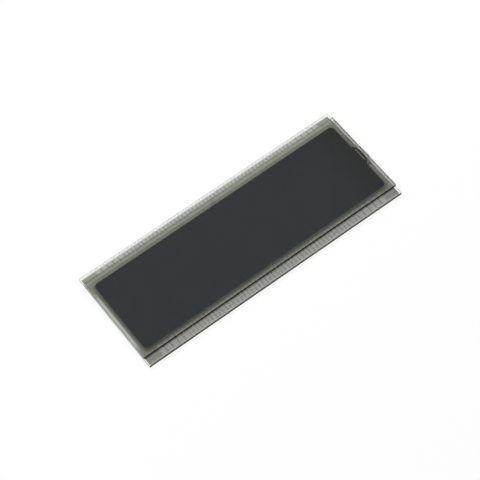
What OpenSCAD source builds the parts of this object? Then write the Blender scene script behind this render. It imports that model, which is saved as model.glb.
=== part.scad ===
// Bare segment LCD cell with a contact ledge on both long sides.
// X runs along the cell towards the fill port, Y towards the back ledge, Z towards the viewer.
// The origin is the middle of the rear film's underside, which the cell lies on.

/* [Glass] */
// Length of both glass plates
glass_l = 89; // [86:0.5:100]
// Depth of the rear glass, ledges included
rear_glass_w = 34.6; // [33:0.1:42]
// Thickness of the rear glass
rear_glass_t = 1.1; // [0.7:0.05:1.5]
// Thickness of the front glass
front_glass_t = 1.1; // [0.7:0.05:1.5]
// Depth of each contact ledge that the front glass leaves bare
ledge_w = 2.6; // [2:0.1:3]

/* [Films] */
// Thickness of the rear polarizer with its reflector and adhesive
rear_film_t = 0.25; // [0.15:0.01:0.4]
// Thickness of the front polarizer with its adhesive
front_film_t = 0.2; // [0.12:0.01:0.35]
// Bare rim of rear glass round the rear polarizer
rear_film_inset = 0.45; // [0.2:0.05:1]
// Bare rim of front glass round the front polarizer
front_film_inset = 0.4; // [0.2:0.05:1]

/* [Cell] */
// Gap between the glass plates
cell_gap = 0.04; // [0.03:0.005:0.08]
// Distance from the front glass's edge to the seal
seal_inset = 1.1; // [0.9:0.05:1.4]
// Width of the printed seal
seal_w = 0.9; // [0.6:0.05:1.2]
// Corner radius of the seal's inner side
seal_corner_r = 1.2; // [0.6:0.1:2.5]

/* [Fill port] */
// Middle of the fill port along Y
port_y = -0.15; // [-4:0.05:4]
// Width of the opening in the seal
port_w = 7.2; // [6.6:0.1:8.5]
// Depth of the port's straight sides before the liquid's curved front
port_throat = 0.1; // [0.05:0.05:0.3]
// Rise of the liquid's curved front past the straight sides
port_rise = 1.35; // [0.8:0.05:1.4]
// Radius of the front's two shoulders
shoulder_r = 4.65; // [4.3:0.05:5.5]
// Radius of the front's flatter middle
front_r = 11.5; // [8:0.5:20]
// Length of the printed dam that stands in the port
dam_l = 4.7; // [3:0.1:4.8]
// Width of the dam
dam_w = 0.32; // [0.2:0.02:0.4]
// Length of the resin bead on the glass edge
bead_l = 5.1; // [4:0.1:6.5]
// Height of the bead across the glass edges
bead_h = 1.7; // [1:0.05:2]
// How far the bead stands out from the glass edge
bead_proud = 0.55; // [0.3:0.05:0.7]
// Length of the resin that crept along the seal, beside the port
creep_l = 4.4; // [2:0.1:6]
// Width of that strip of resin
creep_w = 0.5; // [0.3:0.05:0.6]

/* [Contacts] */
// Pitch of the contacts in the middle of each ledge
pad_pitch = 1.27; // [1.1:0.01:1.3]
// Width of those contacts
pad_w = 0.85; // [0.5:0.05:0.95]
// Number of wide contacts at each end of a ledge
wide_pads = 5; // [3:1:6]
// Pitch of the wide contacts
wide_pad_pitch = 2; // [1.8:0.05:2.1]
// Width of the wide contacts
wide_pad_w = 1.5; // [1:0.05:1.6]
// Bare strip between the two sizes of contact
group_gap = 0.4; // [0.2:0.05:0.6]
// Bare strip between the contacts and the edge of the ledge
pad_setback = 0.3; // [0.1:0.05:0.6]
// Thickness of the conductive film
electrode_t = 0.01; // [0.006:0.001:0.012]

/* [Digits] */
// Pitch of the digits along X
digit_pitch = 9.5; // [9:0.1:10]
// Width of a digit
digit_w = 5.5; // [4.5:0.1:6]
// Height of a digit
digit_h = 9.5; // [8:0.1:10]
// Width of a segment
segment_w = 1.1; // [0.8:0.05:1.3]
// Gap between the tips of neighbouring segments
segment_gap = 0.2; // [0.15:0.01:0.3]
// Space between the two rows of digits
row_gap = 3; // [2:0.1:3.4]
// Width of the leads from the contacts to the segments
lead_w = 0.15; // [0.1:0.01:0.2]
// Pitch of the leads beside a digit
lead_pitch = 0.5; // [0.4:0.01:0.6]
// How far the common electrode reaches past the segments
common_overlap = 0.1; // [0.05:0.01:0.15]
// Width of the bus and stem that join the common electrode
bus_w = 0.3; // [0.2:0.05:0.5]
// Diameter of the dot that joins the common electrode to its contact
crossover_d = 0.8; // [0.5:0.05:0.85]

/* [Hidden] */
$fn = 96;

// Heights of the layers
rear_inner_z = rear_film_t + rear_glass_t;
front_inner_z = rear_inner_z + cell_gap;
front_outer_z = front_inner_z + front_glass_t;
gap_mid_z = rear_inner_z + cell_gap / 2;

// Outlines in plan, each worked out from the glass inwards
front_glass_w = rear_glass_w - 2 * ledge_w;
seal_l = glass_l - 2 * seal_inset;
seal_depth = front_glass_w - 2 * seal_inset;
cell_l = seal_l - 2 * seal_w;
cell_w = seal_depth - 2 * seal_w;
glass_end_x = glass_l / 2;
throat_x = cell_l / 2 + port_throat;
shoulder_x = throat_x - sqrt(pow(shoulder_r, 2) - pow(port_w / 2, 2));
front_tip_x = throat_x + port_rise;
dam_x = throat_x + 0.3 * port_rise;
bead_plan_r = (pow(bead_l / 2, 2) + pow(bead_proud, 2)) / (2 * bead_proud);
bead_section_r = (pow(bead_h / 2, 2) + pow(bead_proud, 2)) / (2 * bead_proud);
bead_root = bead_proud / 2;
bead_root_l = min(bead_l, port_w) / 2;
// The liquid's front and the bead have shallow arcs, which are drawn finer than the rest
front_fn = 360;
bead_plan_fn = 360;
bead_section_fn = 180;

// Each of the two rows holds as many pairs of digits as fit the cell
digit_count = 2 * floor(cell_l / (2 * digit_pitch));
segments_per_digit = 7;

// Contacts are numbered from the left end, and the middle one serves the common electrode
contact_count = segments_per_digit * digit_count + 1;
middle_contact = (contact_count - 1) / 2;
fine_reach = middle_contact - wide_pads;
wide_start_x = fine_reach * pad_pitch + (pad_w + wide_pad_w) / 2 + group_gap;
pad_outer_y = pad_setback - rear_glass_w / 2;
pad_inner_y = -seal_depth / 2;
crossover_y = -(front_glass_w - seal_inset) / 2;

function contact_rank(i) = abs(i - middle_contact) - fine_reach;
function contact_x(i) = contact_rank(i) <= 0
    ? (i - middle_contact) * pad_pitch
    : sign(i - middle_contact) * (wide_start_x + (contact_rank(i) - 1) * wide_pad_pitch);
function contact_w(i) = contact_rank(i) <= 0 ? pad_w : wide_pad_w;
function segment_contact(n) = n < middle_contact ? n : n + 1;

// Levels and columns of a digit in the front row
digit_top_y = -row_gap / 2;
digit_bottom_y = digit_top_y - digit_h;
digit_mid_y = (digit_top_y + digit_bottom_y) / 2;
column_x = (digit_w - segment_w) / 2;
level_dy = (digit_h - segment_w) / 2;
flat_bar_l = digit_w - segment_w - 2 * segment_gap;
upright_bar_l = level_dy - 2 * segment_gap;
tip_x = column_x - segment_gap;
fan_start_y = pad_inner_y + seal_w / 2;
fan_end_y = digit_bottom_y - 2 * lead_w;
bus_y = digit_top_y / 2;
bus_reach = (digit_count - 1) / 2 * digit_pitch;

function digit_x(k) = (k - (digit_count - 1) / 2) * digit_pitch;
function turned(p) = [p[1], p[0]];
function flat_bar(l, w) = [
    [-l / 2, 0], [(w - l) / 2, w / 2], [(l - w) / 2, w / 2],
    [l / 2, 0], [(l - w) / 2, -w / 2], [(w - l) / 2, -w / 2]
];
function upright_bar(l, w) = [for (p = flat_bar(l, w)) turned(p)];

// Segments in the order of their contacts, which goes round from the top one by the left side
function segment_middle(s) = [
    [0, digit_mid_y + level_dy],
    [-column_x, digit_mid_y + level_dy / 2],
    [0, digit_mid_y],
    [-column_x, digit_mid_y - level_dy / 2],
    [0, digit_mid_y - level_dy],
    [column_x, digit_mid_y - level_dy / 2],
    [column_x, digit_mid_y + level_dy / 2]
][s];
function segment_outline(s) = s == 0 || s == 2 || s == 4
    ? flat_bar(flat_bar_l, segment_w)
    : upright_bar(upright_bar_l, segment_w);

// Where each lead rises beside its digit, and the points that take it into its segment
function lead_column(s) = [
    -digit_w / 2 - 3 * lead_pitch,
    -digit_w / 2 - 2 * lead_pitch,
    -digit_w / 2 - lead_pitch,
    lead_w - digit_w / 2,
    0,
    digit_w / 2 - lead_w,
    digit_w / 2 + lead_pitch
][s];
function lead_finish(s) =
    let (x = lead_column(s), y = segment_middle(s)[1], low_end = y - upright_bar_l / 2 + segment_w)
    s == 0 ? [[x, digit_top_y - lead_w], [-tip_x + segment_w, digit_top_y - lead_w]]
    : s == 1 ? [[x, y], [-column_x, y]]
    : s == 2 ? [[x, y], [-tip_x + segment_w / 2, y]]
    : s == 4 ? [[x, y]]
    : s == 6 ? [[x, y], [column_x, y]]
    : [[x, low_end]];

function unit(v) = v / norm(v);
function left_of(v) = [-v[1], v[0]];
function mitre(a, b) = (left_of(a) + left_of(b)) / (1 + a * b);
function side_shift(path, i) = i == 0
    ? left_of(unit(path[1] - path[0]))
    : i == len(path) - 1
        ? left_of(unit(path[i] - path[i - 1]))
        : mitre(unit(path[i] - path[i - 1]), unit(path[i + 1] - path[i]));
function side_points(path, shift) = [for (i = [0 : len(path) - 1]) path[i] + shift * side_shift(path, i)];
function reversed(v) = [for (i = [len(v) - 1 : -1 : 0]) v[i]];

module plate(l, w, z, t) {
    translate([-l / 2, -w / 2, z]) cube([l, w, t]);
}

module rounded_rectangle(l, w, r) {
    square([l, w - 2 * r], center = true);
    square([l - 2 * r, w], center = true);
    for (sx = [-1, 1], sy = [-1, 1]) translate([sx * (l / 2 - r), sy * (w / 2 - r)]) circle(r);
}

// A sheet that fills the gap between the glass plates
module gap_sheet() {
    translate([0, 0, rear_inner_z]) linear_extrude(cell_gap) children();
}

// A film printed on the rear glass's inner face
module rear_print() {
    translate([0, 0, rear_inner_z]) linear_extrude(electrode_t) children();
}

// A film printed on the front glass's inner face
module front_print() {
    translate([0, 0, front_inner_z - electrode_t]) linear_extrude(electrode_t) children();
}

module pad_outline(i) {
    w = contact_w(i);
    translate([contact_x(i) - w / 2, pad_outer_y]) square([w, pad_inner_y - pad_outer_y]);
}

// One circuit: a contact, its lead and the segment that the lead ends in
module circuit_outline(k, s) {
    i = segment_contact(segments_per_digit * k + s);
    start = [contact_x(i), pad_inner_y];
    finish = [for (p = lead_finish(s)) [digit_x(k) + p[0], p[1]]];
    path = concat([start, [start[0], fan_start_y], [digit_x(k) + lead_column(s), fan_end_y]], finish);
    foot = contact_w(i) / 2;
    polygon(concat(
        [[start[0] - foot, pad_outer_y], [start[0] - foot, pad_inner_y]],
        side_points(path, lead_w / 2),
        reversed(side_points(path, -lead_w / 2)),
        [[start[0] + foot, pad_inner_y], [start[0] + foot, pad_outer_y]]
    ));
    translate([digit_x(k), 0]) translate(segment_middle(s)) polygon(segment_outline(s));
}

module row_circuits() {
    for (k = [0 : digit_count - 1], s = [0 : segments_per_digit - 1]) rear_print() circuit_outline(k, s);
    rear_print() pad_outline(middle_contact);
}

// The common electrode behind one row: a frame round each digit's segments, a bus and a stem
module row_common() {
    window_w = digit_w - 2 * (segment_w + common_overlap);
    window_h = level_dy - segment_w - 2 * common_overlap;
    front_print() {
        for (k = [0 : digit_count - 1]) translate([digit_x(k), digit_mid_y]) {
            difference() {
                square([digit_w + 2 * common_overlap, digit_h + 2 * common_overlap], center = true);
                for (side = [-1, 1]) translate([0, side * level_dy / 2])
                    square([window_w, window_h], center = true);
            }
            translate([-bus_w / 2, digit_h / 2]) square([bus_w, bus_y - digit_top_y]);
        }
        translate([-bus_reach - bus_w / 2, bus_y - bus_w / 2]) square([2 * bus_reach + bus_w, bus_w]);
        translate([-bus_w / 2, crossover_y]) square([bus_w, bus_y - crossover_y]);
        translate([0, crossover_y]) circle(d = crossover_d);
    }
}

module port_strip(x_from, x_to) {
    translate([x_from, port_y - port_w / 2]) square([x_to - x_from, port_w]);
}

// Plan of the liquid: the seal's inner side, with the curved front that stands in the port
module liquid_outline() {
    rounded_rectangle(cell_l, cell_w, seal_corner_r);
    intersection() {
        port_strip(cell_l / 2 - port_throat, front_tip_x + port_throat);
        translate([shoulder_x, port_y]) circle(shoulder_r);
        translate([front_tip_x - front_r, port_y]) circle(front_r, $fn = front_fn);
    }
}

// A bar with round ends
module dam_outline() {
    end_y = (dam_l - dam_w) / 2;
    translate([dam_x, port_y]) {
        square([dam_w, 2 * end_y], center = true);
        for (side = [-1, 1]) translate([0, side * end_y]) circle(d = dam_w);
    }
}

module rear_polarizer() {
    color([0.6, 0.6, 0.56])
    plate(glass_l - 2 * rear_film_inset, rear_glass_w - 2 * rear_film_inset, 0, rear_film_t);
}

module rear_glass() {
    color([0.85, 0.9, 0.87, 0.4])
    plate(glass_l, rear_glass_w, rear_film_t, rear_glass_t);
}

module front_row_electrodes() {
    color([0.68, 0.69, 0.66])
    row_circuits();
}

module back_row_electrodes() {
    color([0.68, 0.69, 0.66])
    mirror([0, 1, 0]) row_circuits();
}

module crossover_dots() {
    color([0.55, 0.55, 0.52])
    for (side = [-1, 1]) translate([0, side * crossover_y, rear_inner_z + electrode_t])
        cylinder(h = cell_gap - 2 * electrode_t, d = crossover_d);
}

module common_electrodes() {
    color([0.7, 0.71, 0.68])
    for (side = [0, 1]) mirror([0, side, 0]) row_common();
}

module perimeter_seal() {
    color([0.47, 0.48, 0.44])
    difference() {
        gap_sheet() difference() {
            rounded_rectangle(seal_l, seal_depth, seal_corner_r + seal_w);
            rounded_rectangle(cell_l, cell_w, seal_corner_r);
            port_strip(cell_l / 2 - seal_w, glass_end_x);
        }
        front_row_electrodes();
        back_row_electrodes();
        common_electrodes();
    }
}

module port_dam() {
    color([0.5, 0.5, 0.49])
    gap_sheet() dam_outline();
}

module liquid_crystal() {
    color([0.22, 0.23, 0.24])
    difference() {
        gap_sheet() difference() {
            liquid_outline();
            dam_outline();
        }
        front_row_electrodes();
        back_row_electrodes();
        common_electrodes();
    }
}

// The lens-shaped bead that stands on the glass edge
module edge_bead() {
    intersection() {
        translate([glass_end_x + bead_proud - bead_plan_r, port_y, gap_mid_z])
            rotate_extrude($fn = bead_plan_fn)
                translate([bead_plan_r - bead_section_r, 0]) circle(bead_section_r, $fn = bead_section_fn);
        translate([glass_end_x, port_y - bead_l, gap_mid_z - bead_h])
            cube([2 * bead_proud, 2 * bead_l, 2 * bead_h]);
    }
}

// Resin that shuts the port: a tongue between the plates, a strip that crept along the seal, and the bead
module end_seal() {
    port_side_y = port_y + port_w / 2;
    color([0.72, 0.72, 0.7])
    union() {
        gap_sheet() {
            difference() {
                port_strip(cell_l / 2, glass_end_x);
                liquid_outline();
            }
            translate([seal_l / 2, port_side_y - creep_w]) square([creep_w, creep_l + creep_w / 2]);
            translate([seal_l / 2 + creep_w / 2, port_side_y + creep_l - creep_w / 2]) circle(d = creep_w);
            translate([glass_end_x - bead_root, port_y - bead_root_l / 2])
                square([bead_root + bead_proud / 4, bead_root_l]);
        }
        edge_bead();
    }
}

module front_glass() {
    color([0.85, 0.9, 0.87, 0.4])
    plate(glass_l, front_glass_w, front_inner_z, front_glass_t);
}

module front_polarizer() {
    color([0.4, 0.41, 0.38, 0.6])
    plate(glass_l - 2 * front_film_inset, front_glass_w - 2 * front_film_inset, front_outer_z, front_film_t);
}

rear_polarizer();
rear_glass();
front_row_electrodes();
back_row_electrodes();
crossover_dots();
perimeter_seal();
port_dam();
liquid_crystal();
end_seal();
common_electrodes();
front_glass();
front_polarizer();
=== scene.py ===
import math

import bmesh
import bpy
from mathutils import Matrix, Vector, noise


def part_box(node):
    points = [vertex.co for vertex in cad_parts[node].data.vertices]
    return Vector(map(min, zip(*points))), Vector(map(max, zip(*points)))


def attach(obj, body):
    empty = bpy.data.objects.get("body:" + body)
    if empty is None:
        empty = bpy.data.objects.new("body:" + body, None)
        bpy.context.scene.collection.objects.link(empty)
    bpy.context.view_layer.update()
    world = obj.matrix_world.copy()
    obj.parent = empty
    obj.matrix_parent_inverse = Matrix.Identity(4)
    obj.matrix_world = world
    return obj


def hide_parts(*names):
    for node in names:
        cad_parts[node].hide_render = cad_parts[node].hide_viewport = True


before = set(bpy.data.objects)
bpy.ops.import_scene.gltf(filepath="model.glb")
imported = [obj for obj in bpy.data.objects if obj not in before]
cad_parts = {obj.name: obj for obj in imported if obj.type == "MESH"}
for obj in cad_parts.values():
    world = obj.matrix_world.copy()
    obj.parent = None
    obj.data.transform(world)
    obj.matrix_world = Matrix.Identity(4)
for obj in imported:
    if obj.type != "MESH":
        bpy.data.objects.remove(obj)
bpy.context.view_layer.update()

mm = 0.001
hairGap = 0.003 * mm     # left between two bonded faces, so that they never coincide
filmHeight = 0.01 * mm   # of the conductive film on each plate's inner face
samePoint = 1e-7         # metres; points nearer than this are one
sameLevel = 1e-6         # metres; places nearer than this are at one level

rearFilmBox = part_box("rear_polarizer")
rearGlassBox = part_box("rear_glass")
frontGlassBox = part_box("front_glass")
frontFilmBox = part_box("front_polarizer")
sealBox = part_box("perimeter_seal")
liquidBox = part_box("liquid_crystal")
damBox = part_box("port_dam")
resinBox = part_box("end_seal")
glassEndX, glassBackY, glassTopZ = rearGlassBox[1]       # the front plate ends at the same X


# camera, floor and light

view = {
    "place": (-0.13716, -0.22284, 0.46227),
    "azimuth": 31.492,       # degrees from +Y towards +X
    "down": 60.555,          # degrees below level
    "roll": -6.095,
    "lens": 139.73,
    "sensor": 36.0,
    "nearest": 0.01,
    "farthest": 20,
}

studio = {
    "roomLight": 0.20,       # what the room gives to matt surfaces
    "lamps": (               # name, place, width, depth, watts
        ("softboxBack", (0.0, 0.52, 0.92), 1.5, 0.45, 9.6),
        ("softboxLeft", (-0.55, 0.10, 0.80), 0.5, 0.5, 0.7),
    ),
    "floorColour": (0.32, 0.32, 0.32, 1),
    "floorLift": 0.74,       # keeps the bare floor white and the shadow pale
    "floorSize": 6.0,
    "floorZ": -0.02 * mm,    # a hair under the part
    "clearLayers": 32,       # a line of sight crosses up to a dozen thin layers
}


def addNode(tree, kind, settings=None, sockets=None):
    made = tree.nodes.new("ShaderNode" + kind)
    for name, value in (settings or {}).items():
        setattr(made, name, value)
    for name, value in (sockets or {}).items():
        made.inputs[name].default_value = value
    return made


def feed(tree, value, socket):
    # the value is a number, a colour or another node's output
    if isinstance(value, bpy.types.NodeSocket):
        tree.links.new(value, socket)
    else:
        socket.default_value = value


def calc(tree, operation, *values):
    made = addNode(tree, "Math", {"operation": operation})
    for value, socket in zip(values, made.inputs):
        feed(tree, value, socket)
    return made.outputs[0]


def mapped(tree, value, start=0.0, end=1.0, low=0.0, high=1.0, kind="LINEAR"):
    # low at start, high at end, and level beyond both
    made = addNode(tree, "MapRange", {"interpolation_type": kind}, {
        "From Min": start, "From Max": end, "To Min": low, "To Max": high,
    })
    tree.links.new(value, made.inputs["Value"])
    return made.outputs["Result"]


def whereRay(tree, *kinds):
    # 1 for rays of any of these kinds, else 0
    path = addNode(tree, "LightPath")
    wanted = path.outputs[kinds[0]]
    for kind in kinds[1:]:
        wanted = calc(tree, "MAXIMUM", wanted, path.outputs[kind])
    return wanted


def setUpCamera():
    lens = bpy.data.cameras.new("camera")
    lens.lens = view["lens"]
    lens.sensor_width = view["sensor"]
    lens.clip_start = view["nearest"]
    lens.clip_end = view["farthest"]
    cam = bpy.data.objects.new("camera", lens)
    bpy.context.scene.collection.objects.link(cam)
    azimuth, down = math.radians(view["azimuth"]), math.radians(view["down"])
    level = math.cos(down)
    look = Vector((math.sin(azimuth) * level, math.cos(azimuth) * level, -math.sin(down)))
    roll = Matrix.Rotation(math.radians(view["roll"]), 3, "Z")
    turn = look.to_track_quat("-Z", "Y").to_matrix() @ roll
    cam.matrix_world = Matrix.Translation(view["place"]) @ turn.to_4x4()
    bpy.context.scene.camera = cam


def setUpWorld():
    world = bpy.data.worlds.new("room")
    world.use_nodes = True
    tree = world.node_tree
    sky = tree.nodes["Background"]
    sky.inputs["Color"].default_value = (1, 1, 1, 1)
    seen = whereRay(tree, "Is Camera Ray", "Is Transmission Ray")
    tree.links.new(mapped(tree, seen, low=studio["roomLight"]), sky.inputs["Strength"])
    bpy.context.scene.world = world


def setUpLamps():
    for name, place, width, depth, watts in studio["lamps"]:
        lamp = bpy.data.lights.new(name, "AREA")
        lamp.shape = "RECTANGLE"
        lamp.size = width
        lamp.size_y = depth
        lamp.energy = watts
        holder = bpy.data.objects.new(name, lamp)
        holder.location = place
        holder.rotation_euler = (-Vector(place)).to_track_quat("-Z", "Y").to_euler()
        holder.visible_glossy = False
        holder.visible_transmission = False
        bpy.context.scene.collection.objects.link(holder)


def setUpFloor():
    bpy.ops.mesh.primitive_plane_add(size=studio["floorSize"], location=(0, 0, studio["floorZ"]))
    floor = bpy.context.active_object
    floor.name = "floor"
    mat = bpy.data.materials.new("paleFloor")
    mat.use_nodes = True
    tree = mat.node_tree
    tree.nodes.clear()
    out = addNode(tree, "OutputMaterial")
    matt = addNode(tree, "BsdfDiffuse", None, {"Color": studio["floorColour"]})
    glow = addNode(tree, "Emission")
    both = addNode(tree, "AddShader")
    seen = whereRay(tree, "Is Camera Ray", "Is Glossy Ray", "Is Transmission Ray")
    tree.links.new(calc(tree, "MULTIPLY", seen, studio["floorLift"]), glow.inputs["Strength"])
    tree.links.new(matt.outputs[0], both.inputs[0])
    tree.links.new(glow.outputs[0], both.inputs[1])
    tree.links.new(both.outputs[0], out.inputs["Surface"])
    floor.data.materials.append(mat)


bpy.ops.object.select_all(action="DESELECT")
bpy.context.scene.view_settings.view_transform = "Standard"
bpy.context.scene.cycles.transparent_max_bounces = studio["clearLayers"]
setUpCamera()
setUpWorld()
setUpLamps()
setUpFloor()
print("studio ready")


# shared effects

def newGroup(name, inputs, outputs):
    group = bpy.data.node_groups.new(name, "ShaderNodeTree")
    for label, kind, value in inputs:
        made = group.interface.new_socket(label, in_out="INPUT", socket_type="NodeSocket" + kind)
        made.default_value = value
    for label, kind in outputs:
        group.interface.new_socket(label, in_out="OUTPUT", socket_type="NodeSocket" + kind)
    return group, group.nodes.new("NodeGroupInput"), group.nodes.new("NodeGroupOutput")


def buildDrift():
    # slow and fine variation between two colours
    group, given, made = newGroup("colourDrift", (
        ("Colour A", "Color", (0.5, 0.5, 0.5, 1)), ("Colour B", "Color", (0.5, 0.5, 0.5, 1)),
        ("Broad Scale", "Float", 60.0), ("Grain Scale", "Float", 5000.0), ("Grain", "Float", 0.1),
    ), (("Colour", "Color"), ("Mask", "Float")))
    where = addNode(group, "TexCoord")
    broad = addNode(group, "TexNoise", None, {"Detail": 3.0, "Roughness": 0.5})
    fine = addNode(group, "TexNoise", None, {"Detail": 2.0, "Roughness": 0.6})
    for part, scale in ((broad, "Broad Scale"), (fine, "Grain Scale")):
        group.links.new(where.outputs["Object"], part.inputs["Vector"])
        group.links.new(given.outputs[scale], part.inputs["Scale"])
    spread = mapped(group, broad.outputs["Fac"], start=0.3, end=0.7)
    centred = calc(group, "SUBTRACT", fine.outputs["Fac"], 0.5)
    total = calc(group, "ADD", spread, calc(group, "MULTIPLY", centred, given.outputs["Grain"]))
    mix = addNode(group, "Mix", {"data_type": "RGBA", "clamp_factor": False})
    group.links.new(total, mix.inputs["Factor"])
    group.links.new(given.outputs["Colour A"], mix.inputs[6])
    group.links.new(given.outputs["Colour B"], mix.inputs[7])
    group.links.new(mix.outputs[2], made.inputs["Colour"])
    group.links.new(total, made.inputs["Mask"])
    return group


def buildDust():
    # sparse soft specks, 1 on a speck
    group, given, made = newGroup("fineDust", (
        ("Scale", "Float", 900.0), ("Amount", "Float", 0.05),
    ), (("Mask", "Float"),))
    where = addNode(group, "TexCoord")
    cells = addNode(group, "TexVoronoi", {"feature": "F1"}, {"Randomness": 1.0})
    group.links.new(where.outputs["Object"], cells.inputs["Vector"])
    group.links.new(given.outputs["Scale"], cells.inputs["Scale"])
    pick = addNode(group, "SeparateColor")
    group.links.new(cells.outputs["Color"], pick.inputs["Color"])
    chosen = calc(group, "LESS_THAN", pick.outputs[0], given.outputs["Amount"])
    near = mapped(group, cells.outputs["Distance"], start=0.05, end=0.22, low=1.0, high=0.0)
    group.links.new(calc(group, "MULTIPLY", chosen, near), made.inputs["Mask"])
    return group


def buildRipple():
    # the fine upright hackle of scribed and broken glass, as a height
    group, given, made = newGroup("brokenEdge", (
        ("Scale", "Float", 2500.0), ("Stretch", "Float", 0.25),
    ), (("Height", "Float"), ("Mask", "Float")))
    where = addNode(group, "TexCoord")
    squeeze = addNode(group, "CombineXYZ", None, {"X": 1.0, "Y": 1.0})
    group.links.new(given.outputs["Stretch"], squeeze.inputs["Z"])
    stretched = addNode(group, "VectorMath", {"operation": "MULTIPLY"})
    group.links.new(where.outputs["Object"], stretched.inputs[0])
    group.links.new(squeeze.outputs[0], stretched.inputs[1])
    rough = addNode(group, "TexNoise", None, {"Detail": 4.0, "Roughness": 0.65})
    group.links.new(stretched.outputs[0], rough.inputs["Vector"])
    group.links.new(given.outputs["Scale"], rough.inputs["Scale"])
    group.links.new(rough.outputs["Fac"], made.inputs["Height"])
    group.links.new(mapped(group, rough.outputs["Fac"], start=0.35, end=0.65), made.inputs["Mask"])
    return group


driftGroup = buildDrift()
dustGroup = buildDust()
rippleGroup = buildRipple()


def useGroup(tree, group, values):
    made = tree.nodes.new("ShaderNodeGroup")
    made.node_tree = group
    for name, value in values.items():
        made.inputs[name].default_value = value
    return made


def drifting(tree, colourA, colourB, broad, grain, grainScale=5000.0):
    return useGroup(tree, driftGroup, {
        "Colour A": colourA, "Colour B": colourB,
        "Broad Scale": broad, "Grain Scale": grainScale, "Grain": grain,
    })


def newSurface(name, sockets):
    mat = bpy.data.materials.new(name)
    mat.use_nodes = True
    tree = mat.node_tree
    shader = tree.nodes["Principled BSDF"]
    for label, value in sockets.items():
        shader.inputs[label].default_value = value
    return mat, tree, shader


def newClearSurface(name, ior, roughness):
    # the black tint makes its shine soft: seen straight on, it mirrors next to nothing
    return newSurface(name, {
        "IOR": ior, "Transmission Weight": 1.0, "Roughness": roughness, "Specular Tint": (0, 0, 0, 1),
    })


def mixShaders(tree, factor, shaderA, shaderB):
    mix = addNode(tree, "MixShader")
    tree.links.new(factor, mix.inputs["Fac"])
    tree.links.new(shaderA.outputs[0], mix.inputs[1])
    tree.links.new(shaderB.outputs[0], mix.inputs[2])
    return mix


def show(tree, shader):
    out = next(n for n in tree.nodes if n.type == "OUTPUT_MATERIAL")
    tree.links.new(shader.outputs[0], out.inputs["Surface"])


def letLampsThrough(tree, shader, tint):
    # light reaches what lies behind clear glass; the tint is a colour or an output socket
    clear = addNode(tree, "BsdfTransparent")
    feed(tree, tint, clear.inputs["Color"])
    show(tree, mixShaders(tree, whereRay(tree, "Is Shadow Ray", "Is Diffuse Ray"), shader, clear))


def mixColours(tree, factor, colourA, colourB):
    # colourA and colourB are colours or output sockets
    mix = addNode(tree, "Mix", {"data_type": "RGBA"})
    tree.links.new(factor, mix.inputs["Factor"])
    feed(tree, colourA, mix.inputs[6])
    feed(tree, colourB, mix.inputs[7])
    return mix.outputs[2]


def placeAlong(tree, axis, middle=None):
    # the place along an axis, or how far that is from the middle
    where = addNode(tree, "TexCoord")
    axes = addNode(tree, "SeparateXYZ")
    tree.links.new(where.outputs["Object"], axes.inputs[0])
    if middle is None:
        return axes.outputs[axis]
    return calc(tree, "ABSOLUTE", calc(tree, "SUBTRACT", axes.outputs[axis], middle))


def rampAlong(tree, axis, start, end, middle=None):
    # 0 at start and 1 at end along an axis, or along the distance from the middle
    return mapped(tree, placeAlong(tree, axis, middle), start, end, kind="SMOOTHSTEP")


def scaled(tree, value, by):
    # by is a number or another output socket
    return calc(tree, "MULTIPLY", value, by)


def addBump(tree, shader, height, strength, distance):
    bump = addNode(tree, "Bump", None, {"Strength": strength, "Distance": distance})
    tree.links.new(height, bump.inputs["Height"])
    tree.links.new(bump.outputs[0], shader.inputs["Normal"])


# materials

port = {                     # the fill port in the right-hand end of the seal
    "y": (damBox[0][1] + damBox[1][1]) / 2,
    "halfWidth": 3.6 * mm,
    "throatX": 42.6 * mm,
    "tipX": liquidBox[1][0],
    "shoulderRadius": 4.65 * mm,
    "middleRadius": 11.5 * mm,
}

bead = {                     # the resin bead outside the port
    "proud": resinBox[1][0] - glassEndX,
    "halfLength": 2.45 * mm,
    "halfHeight": 0.85 * mm,
    "middleZ": (glassTopZ + frontGlassBox[0][2]) / 2,
    "fullness": 2.8,         # 2 is an ellipsoid, more is squarer
    "wetted": 0.97,          # how much of its size sticks to the glass
    "lumps": 0.05,           # how uneven the set resin is, as a share of its size
    "lumpScale": 2.3,        # more makes smaller lumps
    "meniscusShadeStart": (1.3 * mm, 1.45 * mm),      # where it thins out on the glass; a painted shade marks it near-black
    "meniscusShadeEnd": (2.25 * mm, 2.1 * mm),
    "meniscusShadeColour": (0.02, 0.02, 0.018, 1),
}

glassLook = {
    "tintA": (0.945, 0.958, 0.945, 1), "tintB": (0.955, 0.966, 0.955, 1),
    "broad": 90.0, "grain": 0.2, "ior": 1.52, "roughness": 0.012,
    "dustScale": 1100.0, "dustAmount": 0.015, "dustRoughness": 0.12,
}

rimLook = {                  # the bare rim outside the rear film
    "clear": (0.93, 0.965, 0.945, 1), "underFilm": (0.225, 0.22, 0.205, 1),
    "blur": 0.1 * mm,
}

edgeLook = {
    # painted shade: the rear plate's front face is tinted near-black, darkest towards its foot
    "frontFoot": (0.0002, 0.0002, 0.0001, 1), "frontHead": (0.05, 0.053, 0.045, 1),
    "frontRise": (0.6 * mm, glassTopZ),
    # painted shade: the front plate's front face, the step, is tinted near-black
    "stepA": (0.0001, 0.0001, 0.0, 1), "stepB": (0.002, 0.0022, 0.0012, 1),
    "otherA": (0.70, 0.75, 0.71, 1), "otherB": (0.88, 0.91, 0.88, 1),
    "lamps": (0.6, 0.63, 0.6, 1), "wetLamps": (1, 1, 1, 1),      # what passes on to the layers behind
    "darkIor": 1.2, "roughness": 0.22,
    "rippleScale": 2600.0, "rippleStretch": 0.25, "rippleStrength": 0.22, "rippleDepth": 0.05 * mm,
}


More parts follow.
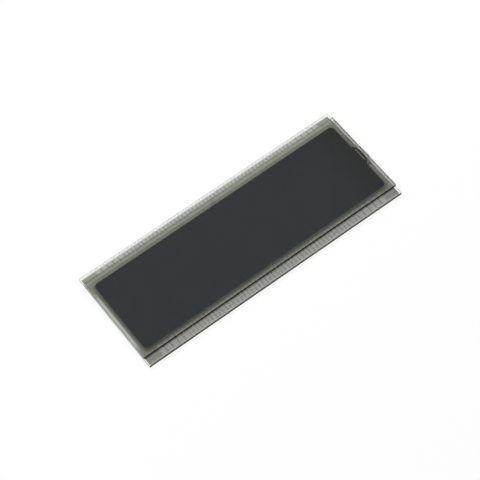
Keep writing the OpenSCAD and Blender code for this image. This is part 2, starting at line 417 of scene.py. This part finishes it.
def makeClearFace(name, look, lampTint):
    # clear glass or film with a slow drift in its tint and a little haze on each speck of dust
    mat, tree, shader = newClearSurface(name, look["ior"], look["roughness"])
    drift = drifting(tree, look["tintA"], look["tintB"], look["broad"], look["grain"])
    dust = useGroup(tree, dustGroup, {"Scale": look["dustScale"], "Amount": look["dustAmount"]})
    haze = mapped(tree, dust.outputs["Mask"], low=look["roughness"], high=look["dustRoughness"])
    tree.links.new(drift.outputs["Colour"], shader.inputs["Base Color"])
    tree.links.new(haze, shader.inputs["Roughness"])
    letLampsThrough(tree, shader, lampTint)
    return mat


def makeGlassRim():
    # polarized light alone reaches the part under the front film
    mat, tree, shader = newClearSurface("glassRim", glassLook["ior"], glassLook["roughness"])
    edgeY = frontFilmBox[1][1]
    outside = rampAlong(tree, "Y", edgeY, edgeY + rimLook["blur"], 0.0)
    colour = mixColours(tree, outside, rimLook["underFilm"], rimLook["clear"])
    tree.links.new(colour, shader.inputs["Base Color"])
    letLampsThrough(tree, shader, rimLook["clear"])
    return mat


def atPortEnd(tree):
    # 0 on the left-hand half and 1 at the end that holds the port
    return rampAlong(tree, "X", 0.0, glassEndX / 2)


def underBead(tree):
    # 1 where the resin bead wets the right-hand edge, so that the glass shows the bead and mirrors nothing
    sides = (("Y", port["y"], bead["halfLength"]), ("Z", bead["middleZ"], bead["halfHeight"]))
    powers = []
    for axis, middle, reach in sides:
        share = scaled(tree, placeAlong(tree, axis, middle), 1 / (bead["wetted"] * reach))
        powers.append(calc(tree, "POWER", share, bead["fullness"]))
    inside = calc(tree, "LESS_THAN", calc(tree, "ADD", *powers), 1.0)
    return scaled(tree, inside, atPortEnd(tree))


def underMeniscusShade(tree):
    # 1 in the two painted-shade marks at the bead's ends
    ends = scaled(tree, atPortEnd(tree), rampAlong(tree, "Y", *bead["meniscusShadeStart"], port["y"]))
    return scaled(tree, ends, rampAlong(tree, "Y", *bead["meniscusShadeEnd"], port["y"]))


def makeGlassEdge(name, tintA, tintB, ior, rising=None):
    # rising is (low, high) where the tint goes from A at the foot to B at the head: a painted shade, darker
    # towards the foot
    mat, tree, shader = newClearSurface(name, ior, edgeLook["roughness"])
    ripple = useGroup(tree, rippleGroup, {
        "Scale": edgeLook["rippleScale"], "Stretch": edgeLook["rippleStretch"],
    })
    share = ripple.outputs["Mask"]
    if rising:
        share = scaled(tree, rampAlong(tree, "Z", *rising), share)
    tree.links.new(mixColours(tree, share, tintA, tintB), shader.inputs["Base Color"])
    addBump(tree, shader, ripple.outputs["Height"], edgeLook["rippleStrength"], edgeLook["rippleDepth"])
    wet = underBead(tree)
    wetted = mixShaders(tree, wet, shader, addNode(tree, "BsdfTransparent"))
    # painted shade: near-black marks on the glass edge at the bead's ends, where the resin thins out
    paintedMeniscusShade = addNode(tree, "BsdfDiffuse", None, {"Color": bead["meniscusShadeColour"]})
    marked = mixShaders(tree, underMeniscusShade(tree), wetted, paintedMeniscusShade)
    letLampsThrough(tree, marked, mixColours(tree, wet, edgeLook["lamps"], edgeLook["wetLamps"]))
    return mat


def makeBondedFace():
    # a face that is wetted by adhesive, seal or liquid, where no light turns back
    mat, tree, shader = newSurface("bondedFace", {})
    tree.nodes.remove(shader)
    show(tree, addNode(tree, "BsdfTransparent"))
    return mat


frontFilmLook = {
    "tintA": (0.94, 0.935, 0.90, 1), "tintB": (0.96, 0.955, 0.92, 1),
    "broad": 55.0, "grain": 0.15, "ior": 1.49, "roughness": 0.02,
    "dustScale": 900.0, "dustAmount": 0.015, "dustRoughness": 0.12,
    "sideA": (0.20, 0.20, 0.17, 1), "sideB": (0.62, 0.62, 0.57, 1),
    "sideBand": (0.35, 0.6),                 # the dark layer, as shares of the thickness
}

rearFilmLook = {
    # painted light: the face is lighter at the far (back) end, where more light falls
    "nearA": (0.366, 0.363, 0.325, 1), "nearB": (0.398, 0.396, 0.360, 1),
    "farA": (0.380, 0.380, 0.340, 1), "farB": (0.412, 0.413, 0.374, 1),
    "backA": (0.50, 0.50, 0.49, 1), "backB": (0.56, 0.56, 0.55, 1),
    "broad": 70.0, "grainScale": 7000.0, "faceGrain": 0.5, "backGrain": 0.2,
    "bumpStrength": 0.1, "bumpDepth": 0.01 * mm,
    "sideA": (0.16, 0.16, 0.14, 1), "sideB": (0.50, 0.50, 0.46, 1), "sideBand": (0.3, 0.55),
    "glow": (0.99, 0.96, 0.99, 1),           # where light that comes in through a glass edge spreads
    "shade": (0.25, 0.255, 0.225, 1),        # where the far end gets less of it
    "shadow": (0.10, 0.10, 0.097, 1),        # beside the liquid's ends and at the front plate's feet
}

cutSide = {                  # the worn look over both films' cut sides
    "wornA": (0.9, 0.9, 0.9, 1), "wornB": (1, 1, 1, 1),
    "broad": 400.0, "grain": 0.6, "grainScale": 8000.0, "roughness": 0.4,
}


def layeredColour(tree, low, high, look):
    # stripes across a film's cut side, from its low to its high level
    share = mapped(tree, placeAlong(tree, "Z"), low, high)
    ramp = addNode(tree, "ValToRGB")
    ramp.color_ramp.interpolation = "CONSTANT"
    ramp.color_ramp.elements[0].color = look["sideB"]
    ramp.color_ramp.elements[1].position = look["sideBand"][0]
    ramp.color_ramp.elements[1].color = look["sideA"]
    ramp.color_ramp.elements.new(look["sideBand"][1]).color = look["sideB"]
    tree.links.new(share, ramp.inputs["Fac"])
    return ramp.outputs["Color"]


def makeFilmSide(name, box, look):
    mat, tree, shader = newSurface(name, {"Roughness": cutSide["roughness"]})
    colour = layeredColour(tree, box[0][2], box[1][2], look)
    drift = drifting(
        tree, cutSide["wornA"], cutSide["wornB"], cutSide["broad"], cutSide["grain"], cutSide["grainScale"])
    worn = addNode(tree, "Mix", {"data_type": "RGBA", "blend_type": "MULTIPLY"}, {"Factor": 1.0})
    tree.links.new(colour, worn.inputs[6])
    tree.links.new(drift.outputs["Colour"], worn.inputs[7])
    tree.links.new(worn.outputs[2], shader.inputs["Base Color"])
    return mat


glows = {                    # how light fades inwards from each edge of the film
    "left": (-42.95 * mm, -44.0 * mm), "leftSide": (12.5 * mm, 7.5 * mm, -0.5 * mm),
    "back": (16.35 * mm, 16.85 * mm), "backShare": 0.7,
    "front": (-16.65 * mm, -16.85 * mm), "frontShare": 0.75,
}

shades = {                   # where the film gets less light
    "end": (43.35 * mm, 44.15 * mm),
    # beside the liquid's ends, and where the left end's share turns into the right end's
    "left": (-43.25 * mm, -42.1 * mm), "leftShare": 0.7,
    "right": (43.2 * mm, 42.7 * mm), "rightShare": 0.4,
    "side": (13.1 * mm, 12.5 * mm, 0.0), "turn": (-10.0 * mm, 10.0 * mm),
    # in a line along the foot of each long edge of the front plate
    "stepFoot": (0.35 * mm, 0.1 * mm, -14.5 * mm), "stepShare": 0.8,
    "backFoot": (0.25 * mm, 0.05 * mm, 14.82 * mm), "backShare": 0.4, "backEnds": (30.0 * mm, -15.0 * mm),
}


def makeReflector():
    mat, tree, shader = newSurface("reflectorFace", {"Roughness": 0.7, "Specular IOR Level": 0.0})
    sides = []
    for side in ("near", "far"):
        drift = drifting(
            tree, rearFilmLook[side + "A"], rearFilmLook[side + "B"],
            rearFilmLook["broad"], rearFilmLook["faceGrain"], rearFilmLook["grainScale"])
        sides.append(drift.outputs["Colour"])
    # painted light: from the near (front) colours to the lighter far (back) ones
    colour = mixColours(tree, rampAlong(tree, "Y", -rearFilmBox[1][1], rearFilmBox[1][1]), *sides)
    colour = mixColours(tree, rampAlong(tree, "X", *shades["end"]), colour, rearFilmLook["shade"])
    under = rampAlong(tree, "Y", *shades["side"])
    for end in ("left", "right"):
        under = scaled(tree, rampAlong(tree, "X", *shades[end]), under)
    turn = rampAlong(tree, "X", *shades["turn"])
    under = scaled(tree, under, mapped(tree, turn, low=shades["leftShare"], high=shades["rightShare"]))
    step = scaled(tree, rampAlong(tree, "Y", *shades["stepFoot"]), shades["stepShare"])
    back = scaled(tree, rampAlong(tree, "Y", *shades["backFoot"]), shades["backShare"])
    back = scaled(tree, back, rampAlong(tree, "X", *shades["backEnds"]))
    for dark in (under, step, back):
        colour = mixColours(tree, dark, colour, rearFilmLook["shadow"])
    leftGlow = scaled(tree, rampAlong(tree, "X", *glows["left"]), rampAlong(tree, "Y", *glows["leftSide"]))
    backGlow = scaled(tree, rampAlong(tree, "Y", *glows["back"]), glows["backShare"])
    frontGlow = scaled(tree, rampAlong(tree, "Y", *glows["front"]), glows["frontShare"])
    for glow in (leftGlow, backGlow, frontGlow):
        colour = mixColours(tree, glow, colour, rearFilmLook["glow"])
    tree.links.new(colour, shader.inputs["Base Color"])
    addBump(tree, shader, drift.outputs["Mask"], rearFilmLook["bumpStrength"], rearFilmLook["bumpDepth"])
    return mat


def makeFilmBack():
    mat, tree, shader = newSurface("reflectorBack", {"Roughness": 0.35, "Specular IOR Level": 0.3})
    drift = drifting(
        tree, rearFilmLook["backA"], rearFilmLook["backB"],
        rearFilmLook["broad"], rearFilmLook["backGrain"], rearFilmLook["grainScale"])
    tree.links.new(drift.outputs["Colour"], shader.inputs["Base Color"])
    addBump(tree, shader, drift.outputs["Mask"], rearFilmLook["bumpStrength"], rearFilmLook["bumpDepth"])
    return mat


layerGrainScale = 4000.0


def makeLayer(name, look, roughness=0.8):
    # a layer between the plates, which lets part of the light through
    mat, tree, shader = newSurface(name, {
        "Roughness": roughness, "Specular IOR Level": 0.0, "Alpha": look["alpha"],
    })
    drift = drifting(tree, look["colourA"], look["colourB"], look["broad"], look["grain"], layerGrainScale)
    tree.links.new(drift.outputs["Colour"], shader.inputs["Base Color"])
    return mat, tree, shader, drift.outputs["Colour"]


sealLook = {
    "colourA": (0.185, 0.19, 0.185, 1), "colourB": (0.22, 0.225, 0.22, 1),
    "alpha": 0.25, "broad": 300.0, "grain": 0.5,
}

damLook = {
    "colourA": (0.25, 0.25, 0.25, 1), "colourB": (0.32, 0.32, 0.32, 1),
    "alpha": 0.5, "broad": 600.0, "grain": 0.3,
}

pasteLook = {
    "colourA": (0.30, 0.30, 0.28, 1), "colourB": (0.42, 0.42, 0.40, 1),
    "alpha": 1.0, "broad": 2500.0, "grain": 0.6,
}

liquidLook = {
    "colourA": (0.0475, 0.0555, 0.0635, 1), "colourB": (0.0505, 0.0545, 0.0595, 1),
    "alpha": 0.97, "broad": 60.0, "grain": 0.1,
    "portSide": (0.0465, 0.0470, 0.0490, 1),
    "turn": (28.0 * mm, 43.0 * mm),          # where it turns into the port side's colour
}


def makeLiquidDark():
    mat, tree, shader, drifted = makeLayer("darkLiquid", liquidLook)
    colour = mixColours(tree, rampAlong(tree, "X", *liquidLook["turn"]), drifted, liquidLook["portSide"])
    tree.links.new(colour, shader.inputs["Base Color"])
    return mat


contactLook = {
    "colourA": (0.64, 0.63, 0.64, 1), "colourB": (0.82, 0.81, 0.83, 1),
    "alpha": 0.24, "coveredAlpha": 0.001,    # how much of it is seen on the ledges, and under the liquid
    "broad": 900.0, "grain": 0.3, "roughness": 0.25,
    "nearBare": (-13.0 * mm, -14.7 * mm),    # where the front contacts begin to show
    "farBare": (14.2 * mm, 14.75 * mm),
    "nearShare": 0.55,                       # how much of that the front ledge shows: a painted shade, as that ledge gets less light
}


def makeContactFilm():
    mat, tree, shader = makeLayer("conductiveFilm", contactLook, contactLook["roughness"])[:3]
    near = rampAlong(tree, "Y", *contactLook["nearBare"])
    bare = calc(tree, "ADD", near, rampAlong(tree, "Y", *contactLook["farBare"]))
    # painted shade: the contacts show less towards the front ledge, which gets less light
    lit = mapped(tree, rampAlong(tree, "Y", -glassBackY, glassBackY), low=contactLook["nearShare"])
    seen = mapped(tree, scaled(tree, bare, lit), low=contactLook["coveredAlpha"], high=contactLook["alpha"])
    tree.links.new(seen, shader.inputs["Alpha"])
    letLampsThrough(tree, shader, (1, 1, 1, 1))
    return mat


resinLook = {
    "colourA": (0.58, 0.58, 0.58, 1), "colourB": (0.70, 0.70, 0.70, 1),
    "alpha": 0.55, "broad": 500.0, "grain": 0.4,
    "flank": (0.26, 0.26, 0.25, 1),          # towards both ends of the port and in the strip beside it
    "flankSide": (1.5 * mm, 2.6 * mm), "flankDepth": (44.2 * mm, 43.9 * mm),
}


def makeResinFilm():
    mat, tree, shader, drifted = makeLayer("resinBetweenGlass", resinLook)
    flank = rampAlong(tree, "Y", *resinLook["flankSide"], port["y"])
    flank = scaled(tree, flank, rampAlong(tree, "X", *resinLook["flankDepth"]))
    tree.links.new(mixColours(tree, flank, drifted, resinLook["flank"]), shader.inputs["Base Color"])
    return mat


beadLook = {
    "greyA": (0.74, 0.74, 0.73, 1), "greyB": (0.92, 0.92, 0.91, 1),
    "broad": 900.0, "grain": 0.4, "grainScale": 3000.0,
    "foot": (1.7 * mm, 2.3 * mm),            # where the bead thins out, darkened there by a painted shade
    "footShade": (0.10, 0.10, 0.095, 1),
}


def makeBeadResin():
    mat, tree, shader = newSurface("beadResin", {
        "IOR": 1.5, "Roughness": 0.22, "Coat Weight": 0.25,
        "Subsurface Weight": 0.9, "Subsurface Radius": (1, 1, 1), "Subsurface Scale": 0.2 * mm,
    })
    drift = drifting(
        tree, beadLook["greyA"], beadLook["greyB"],
        beadLook["broad"], beadLook["grain"], beadLook["grainScale"])
    # painted shade: the bead darkens towards both its ends
    foot = rampAlong(tree, "Y", *beadLook["foot"], port["y"])
    colour = mixColours(tree, foot, drift.outputs["Colour"], beadLook["footShade"])
    tree.links.new(colour, shader.inputs["Base Color"])
    return mat


glassFace = makeClearFace("floatGlass", glassLook, glassLook["tintA"])
glassRim = makeGlassRim()
# the front faces of both plates carry a painted shade in their near-black tints
frontEdge = makeGlassEdge(
    "scribedFrontEdgePaintedShade", edgeLook["frontFoot"], edgeLook["frontHead"],
    edgeLook["darkIor"], edgeLook["frontRise"])
stepEdge = makeGlassEdge("scribedStepEdgePaintedShade", edgeLook["stepA"], edgeLook["stepB"], edgeLook["darkIor"])
otherEdge = makeGlassEdge("brokenEdge", edgeLook["otherA"], edgeLook["otherB"], glassLook["ior"])
bondedFace = makeBondedFace()
frontFilmFace = makeClearFace("polarizerFace", frontFilmLook, frontFilmLook["tintB"])
frontFilmSide = makeFilmSide("frontFilmSide", frontFilmBox, frontFilmLook)
rearFilmFace = makeReflector()
rearFilmBack = makeFilmBack()
rearFilmSide = makeFilmSide("rearFilmSide", rearFilmBox, rearFilmLook)
liquidDark = makeLiquidDark()
sealPrint = makeLayer("printedSeal", sealLook)[0]
damPrint = makeLayer("damPrint", damLook)[0]
contactFilm = makeContactFilm()
paste = makeLayer("silverPaste", pasteLook)[0]
resinFilm = makeResinFilm()
beadResin = makeBeadResin()
print("materials ready")


# pieces

def startPiece(name, box):
    # a block at its size and place, ready for edit mode
    low, high = Vector(box[0]), Vector(box[1])
    bpy.ops.object.select_all(action="DESELECT")
    bpy.ops.mesh.primitive_cube_add(size=1, location=(low + high) / 2)
    piece = bpy.context.active_object
    piece.name = name
    piece.data.name = name
    piece.scale = high - low
    bpy.ops.object.transform_apply(location=True, rotation=True, scale=True)
    return piece


def clearBelow(box):
    # the box with a hair's gap under it
    return Vector(box[0]) + Vector((0, 0, hairGap)), box[1]


def clearAbove(box):
    # the box with a hair's gap over it
    return box[0], Vector(box[1]) - Vector((0, 0, hairGap))


def pickFaces(piece, test):
    # selects the faces that pass the test, in edit mode
    bpy.ops.mesh.select_all(action="DESELECT")
    mesh = bmesh.from_edit_mesh(piece.data)
    mesh.faces.ensure_lookup_table()
    for face in mesh.faces:
        if test(face):
            face.select_set(True)
    bmesh.update_edit_mesh(piece.data)


def giveSlots(piece, *mats):
    piece.data.materials.clear()
    for mat in mats:
        piece.data.materials.append(mat)


def paintPicked(piece, mat):
    piece.active_material_index = list(piece.data.materials).index(mat)
    bpy.ops.object.material_slot_assign()


def paintFaces(piece, mat, test):
    pickFaces(piece, test)
    paintPicked(piece, mat)


def bevelEdges(piece, test, radius, segments):
    bpy.ops.mesh.select_mode(type="EDGE")
    bpy.ops.mesh.select_all(action="DESELECT")
    mesh = bmesh.from_edit_mesh(piece.data)
    for edge in mesh.edges:
        if test(edge):
            edge.select_set(True)
    bmesh.update_edit_mesh(piece.data)
    bpy.ops.mesh.bevel(offset=radius, segments=segments, affect="EDGES")
    bpy.ops.mesh.select_mode(type="FACE")


def upright(edge):
    return abs(edge.verts[0].co.z - edge.verts[1].co.z) > sameLevel


def roundCorners(piece, radius, segments):
    # from object mode: rounds a block's upright edges
    bpy.ops.object.mode_set(mode="EDIT")
    bevelEdges(piece, upright, radius, segments)
    bpy.ops.object.mode_set(mode="OBJECT")


def faceOutwards():
    bpy.ops.mesh.select_all(action="SELECT")
    bpy.ops.mesh.normals_make_consistent(inside=False)


def finishPiece(piece, slot, *nodes):
    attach(piece, "root")
    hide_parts(*nodes)


plates = {
    "arris": 0.03 * mm,      # the tiny bevel of a broken edge
    "cuts": 60,              # stretches along a long edge
    "waver": 0.02 * mm,      # how far a broken edge strays from its line
    "waverAlong": 1400,      # how often it strays, along and up the edge
    "waverUp": 900,
    "firstInset": 0.2 * mm,  # before a bonded zone gets its own size
    "zoneReach": 0.01 * mm,
    "zoneSegments": 8,
}


def faceSize(face):
    xs = [v.co.x for v in face.verts]
    ys = [v.co.y for v in face.verts]
    return max(xs) - min(xs), max(ys) - min(ys)


def markZone(piece, up, zone, cornerRadius):
    # splits the top (up = 1) or the bottom (up = -1) along an inner outline with rounded corners
    low, high = zone
    bpy.ops.mesh.select_mode(type="FACE")
    pickFaces(piece, lambda f: f.normal.z * up > 0.9)
    bpy.ops.mesh.inset(thickness=plates["firstInset"], depth=0)
    mesh = bmesh.from_edit_mesh(piece.data)
    inner = [f for f in mesh.faces if f.select][0]
    width, depth = faceSize(inner)
    bpy.ops.transform.resize(value=((high[0] - low[0]) / width, (high[1] - low[1]) / depth, 1))
    if cornerRadius:
        bpy.ops.mesh.bevel(offset=cornerRadius, segments=plates["zoneSegments"], affect="VERTICES")
    mesh = bmesh.from_edit_mesh(piece.data)
    reach = plates["zoneReach"]
    for face in mesh.faces:
        flat = face.normal.z * up > 0.9
        alongX = all(low[0] - reach <= v.co.x <= high[0] + reach for v in face.verts)
        alongY = all(low[1] - reach <= v.co.y <= high[1] + reach for v in face.verts)
        central = abs(face.calc_center_median().x) < high[0] - cornerRadius
        face.select_set(flat and alongX and alongY and central)
    bmesh.update_edit_mesh(piece.data)


def roughenEdges(piece, seed):
    # breaks up the straight long edges a little, inwards only
    mesh = bmesh.from_edit_mesh(piece.data)
    lowX, highX = min(v.co.x for v in mesh.verts), max(v.co.x for v in mesh.verts)
    lowY, highY = min(v.co.y for v in mesh.verts), max(v.co.y for v in mesh.verts)
    near = plates["arris"] * 1.5     # takes in both borders of the small bevel
    along, upwards = plates["waverAlong"], plates["waverUp"]
    for v in mesh.verts:
        place = Vector((v.co.x * along + seed, v.co.y * along, v.co.z * upwards))
        push = abs(noise.noise(place)) * plates["waver"]
        if v.co.x - lowX < near or highX - v.co.x < near:
            v.co.x -= math.copysign(push, v.co.x)
        if v.co.y - lowY < near or highY - v.co.y < near:
            v.co.y -= math.copysign(push, v.co.y)
    bmesh.update_edit_mesh(piece.data)


def makePlate(name, box, topZone, bottomZone, longEdge, underRim, node, seed):
    # each zone is (box, corner radius): the part of that face which something is bonded to
    piece = startPiece(name, box)
    giveSlots(piece, glassFace, longEdge, bondedFace, otherEdge, glassRim)
    bpy.ops.object.mode_set(mode="EDIT")
    if underRim:
        paintFaces(piece, glassRim, lambda f: f.normal.z < -0.9)
    for up, zone in ((1, topZone), (-1, bottomZone)):
        markZone(piece, up, *zone)
        paintPicked(piece, bondedFace)
    paintFaces(piece, longEdge, lambda f: f.normal.y < -0.5)
    paintFaces(piece, otherEdge, lambda f: f.normal.y > 0.5 or abs(f.normal.x) > 0.5)
    endX, backY = box[1][0], box[1][1]
    onSide = lambda e: all(
        abs(abs(v.co.x) - endX) < sameLevel or abs(abs(v.co.y) - backY) < sameLevel for v in e.verts
    )
    bevelEdges(piece, onSide, plates["arris"], 1)
    pickFaces(piece, lambda f: abs(f.normal.z) < 0.2)
    bpy.ops.mesh.subdivide(number_cuts=plates["cuts"])
    roughenEdges(piece, seed)
    faceOutwards()
    bpy.ops.object.mode_set(mode="OBJECT")
    finishPiece(piece, "glass", node)


sealCorner = 2.1 * mm
sealZone = (sealBox, sealCorner)
makePlate(
    "rearGlassPlate", clearAbove(rearGlassBox),
    sealZone, (rearFilmBox, 0), frontEdge, True, "rear_glass", 3)
makePlate(
    "frontGlassPlate", clearBelow(frontGlassBox),
    (frontFilmBox, 0), sealZone, stepEdge, False, "front_glass", 11)
print("glass plates made")


films = {
    "corner": 0.3 * mm,
    "cornerSegments": 5,
}


def makeFilm(name, box, faceUp, side, faceDown, slotName, node):
    piece = startPiece(name, box)
    giveSlots(piece, faceUp, side, faceDown)
    bpy.ops.object.mode_set(mode="EDIT")
    bevelEdges(piece, upright, films["corner"], films["cornerSegments"])
    paintFaces(piece, side, lambda f: abs(f.normal.z) < 0.5)
    paintFaces(piece, faceDown, lambda f: f.normal.z < -0.5)
    faceOutwards()
    bpy.ops.object.mode_set(mode="OBJECT")
    finishPiece(piece, slotName, node)


makeFilm(
    "rearFilmSheet", clearAbove(rearFilmBox),
    rearFilmFace, rearFilmSide, rearFilmBack, "rear_film", "rear_polarizer")
makeFilm(
    "frontFilmSheet", clearBelow(frontFilmBox),
    frontFilmFace, frontFilmSide, bondedFace, "front_film", "front_polarizer")
print("films made")


# what lies between the plates

layers = {
    "low": glassTopZ + filmHeight + hairGap,     # clear of the conductive film on both plates
    "high": frontGlassBox[0][2] - filmHeight - hairGap,
    "cellCorner": 1.2 * mm,
    "cornerSegments": 8,
    "steps": 28,             # stretches along the liquid's curved front
    "firstStep": 0.1 * mm,   # how far the liquid is pushed into the port before its front is shaped
    "frontReach": 0.02 * mm,
    "damRounding": 0.98,     # of the dam's ends, as a share of half its width
    "damSegments": 6,
}


def layerBox(lowX, lowY, highX, highY, spare=0):
    return (lowX, lowY, layers["low"] - spare), (highX, highY, layers["high"] + spare)


def cutAcross(place, normal):
    bpy.ops.mesh.select_all(action="SELECT")
    bpy.ops.mesh.bisect(plane_co=place, plane_no=normal, threshold=samePoint)


def frontX(y):
    # where the liquid's front stands in the port: two round shoulders and a flatter middle
    off = abs(y - port["y"])
    lead = math.sqrt(max(port["shoulderRadius"] ** 2 - port["halfWidth"] ** 2, 0))
    shoulder = port["throatX"] - lead + math.sqrt(max(port["shoulderRadius"] ** 2 - off ** 2, 0))
    middle = port["tipX"] - port["middleRadius"] + math.sqrt(port["middleRadius"] ** 2 - off ** 2)
    return min(shoulder, middle)


def followFront(piece, nearX, shift):
    # cuts the piece into steps across the port and sets its points near nearX on the liquid's front
    for step in range(layers["steps"] + 1):
        share = 2 * step / layers["steps"] - 1
        cutAcross((0, port["y"] + share * port["halfWidth"], 0), (0, 1, 0))
    mesh = bmesh.from_edit_mesh(piece.data)
    for v in mesh.verts:
        atFront = abs(v.co.x - nearX) < layers["frontReach"]
        if atFront and abs(v.co.y - port["y"]) < port["halfWidth"] + samePoint:
            v.co.x = frontX(v.co.y) + shift
    bmesh.update_edit_mesh(piece.data)


def cutAway(piece, cutter):
    cut = piece.modifiers.new("cut", "BOOLEAN")
    cut.operation = "DIFFERENCE"
    cut.solver = "EXACT"
    cut.object = cutter
    bpy.ops.object.select_all(action="DESELECT")
    bpy.context.view_layer.objects.active = piece
    piece.select_set(True)
    bpy.ops.object.modifier_apply(modifier="cut")
    bpy.data.objects.remove(cutter, do_unlink=True)


def closeMesh():
    bpy.ops.mesh.select_all(action="SELECT")
    bpy.ops.mesh.remove_doubles(threshold=samePoint)
    faceOutwards()


def makeSealRing():
    low, high = sealBox
    ring = startPiece("printedSealRing", layerBox(low[0], low[1], high[0], high[1]))
    roundCorners(ring, sealCorner, layers["cornerSegments"])
    innerX, innerY = -liquidBox[0][0], liquidBox[1][1]
    hole = startPiece("hole", layerBox(-innerX, -innerY, innerX, innerY, mm))
    roundCorners(hole, layers["cellCorner"], layers["cornerSegments"])
    cutAway(ring, hole)
    lowY, highY = port["y"] - port["halfWidth"], port["y"] + port["halfWidth"]
    cutAway(ring, startPiece("gap", layerBox(innerX - mm, lowY, high[0] + mm, highY, mm)))
    bpy.ops.object.mode_set(mode="EDIT")
    closeMesh()
    bpy.ops.object.mode_set(mode="OBJECT")
    giveSlots(ring, sealPrint)
    finishPiece(ring, "printed_seal", "perimeter_seal")


def makeDamCutter():
    # the port dam's own shape, a hair larger and taller than the liquid
    low, high = Vector(damBox[0]), Vector(damBox[1])
    spare = Vector((hairGap, hairGap, mm))
    cutter = startPiece("damHole", (low - spare, high + spare))
    roundCorners(cutter, (high.x - low.x) / 2 * layers["damRounding"], layers["damSegments"])
    return cutter


def makeLiquid():
    low, high = liquidBox
    flankX = -low[0] - hairGap
    liquid = startPiece(
        "liquidSheet", layerBox(low[0] + hairGap, low[1] + hairGap, flankX, high[1] - hairGap))
    bpy.ops.object.mode_set(mode="EDIT")
    bevelEdges(liquid, upright, layers["cellCorner"], layers["cornerSegments"])
    for side in (-1, 1):
        cutAcross((0, port["y"] + side * (port["halfWidth"] - hairGap), 0), (0, 1, 0))
    inPort = lambda f: abs(f.calc_center_median().y - port["y"]) < port["halfWidth"] / 2
    pickFaces(liquid, lambda f: f.normal.x > 0.9 and inPort(f))
    bpy.ops.mesh.extrude_region_move(TRANSFORM_OT_translate={"value": (layers["firstStep"], 0, 0)})
    followFront(liquid, flankX + layers["firstStep"], -hairGap)
    closeMesh()
    bpy.ops.object.mode_set(mode="OBJECT")
    cutAway(liquid, makeDamCutter())
    bpy.ops.object.mode_set(mode="EDIT")
    closeMesh()
    bpy.ops.object.mode_set(mode="OBJECT")
    giveSlots(liquid, liquidDark)
    finishPiece(liquid, "liquid_crystal", "liquid_crystal")


makeSealRing()
makeLiquid()
print("seal and liquid made")


resin = {
    "underBead": 0.04 * mm,  # how far the tongue stops inside the glass
    "lowY": port["y"] - port["halfWidth"] + hairGap,
    "highY": port["y"] + port["halfWidth"] - hairGap,
    "creepWidth": 0.5 * mm,  # the strip that crept along the seal
    "creepLength": 4.4 * mm,
    "creepRounding": 0.45,   # of its far end, as a share of its width
    "creepSegments": 6,
}


def makeTongue():
    # fills the port between the liquid and the bead
    tongue = startPiece("resinPlug", layerBox(
        port["throatX"], resin["lowY"], glassEndX - resin["underBead"], resin["highY"]))
    bpy.ops.object.mode_set(mode="EDIT")
    followFront(tongue, port["throatX"], hairGap)
    closeMesh()
    bpy.ops.object.mode_set(mode="OBJECT")
    giveSlots(tongue, resinFilm, beadResin)
    return tongue


def makeCreep():
    lowX = sealBox[1][0] + hairGap
    lowY, highY = resin["highY"] + hairGap, resin["highY"] + resin["creepLength"]
    creep = startPiece("creep", layerBox(lowX, lowY, lowX + resin["creepWidth"], highY))
    farEnd = lambda e: upright(e) and e.verts[0].co.y > resin["highY"] + mm
    bpy.ops.object.mode_set(mode="EDIT")
    bevelEdges(creep, farEnd, resin["creepRounding"] * resin["creepWidth"], resin["creepSegments"])
    closeMesh()
    bpy.ops.object.mode_set(mode="OBJECT")
    giveSlots(creep, resinFilm, beadResin)
    return creep


def makeBlob():
    # the bead: a lumpy, swollen ball, cut off flat where it sits on the glass
    bpy.ops.object.select_all(action="DESELECT")
    bpy.ops.mesh.primitive_uv_sphere_add(segments=64, ring_count=32, radius=1, location=(0, 0, 0))
    blob = bpy.context.active_object
    mesh = blob.data
    for v in mesh.vertices:
        swell = sum(abs(part) ** bead["fullness"] for part in v.co) ** (-1 / bead["fullness"])
        dent = swell * (1 - bead["lumps"] * (0.5 + 0.5 * noise.noise(v.co * bead["lumpScale"])))
        v.co = Vector((
            glassEndX + v.co.x * bead["proud"] * dent,
            port["y"] + v.co.y * bead["halfLength"] * dent,
            bead["middleZ"] + v.co.z * bead["halfHeight"] * dent,
        ))
    bpy.ops.object.mode_set(mode="EDIT")
    bpy.ops.mesh.select_all(action="SELECT")
    bpy.ops.mesh.bisect(
        plane_co=(glassEndX + hairGap, 0, 0), plane_no=(1, 0, 0), use_fill=True, clear_inner=True,
        threshold=samePoint)
    faceOutwards()
    bpy.ops.object.mode_set(mode="OBJECT")
    giveSlots(blob, resinFilm, beadResin)
    for face in mesh.polygons:
        face.material_index = 1      # the bead's resin
        face.use_smooth = face.normal.x > -0.9
    return blob


def makeResinPlug():
    tongue = makeTongue()
    parts = (makeCreep(), makeBlob(), tongue)
    bpy.ops.object.select_all(action="DESELECT")
    for part in parts:
        part.select_set(True)
    bpy.context.view_layer.objects.active = tongue
    bpy.ops.object.join()
    finishPiece(tongue, "clear_resin", "end_seal")


makeResinPlug()
print("resin plug made")


# CAD nodes that keep their shape

keptNodes = {
    "port_dam": damPrint,
    "front_row_electrodes": contactFilm,
    "back_row_electrodes": contactFilm,
    "common_electrodes": contactFilm,
    "crossover_dots": paste,
}
for nodeName, mat in keptNodes.items():
    giveSlots(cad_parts[nodeName], mat)
print("inner layers dressed")
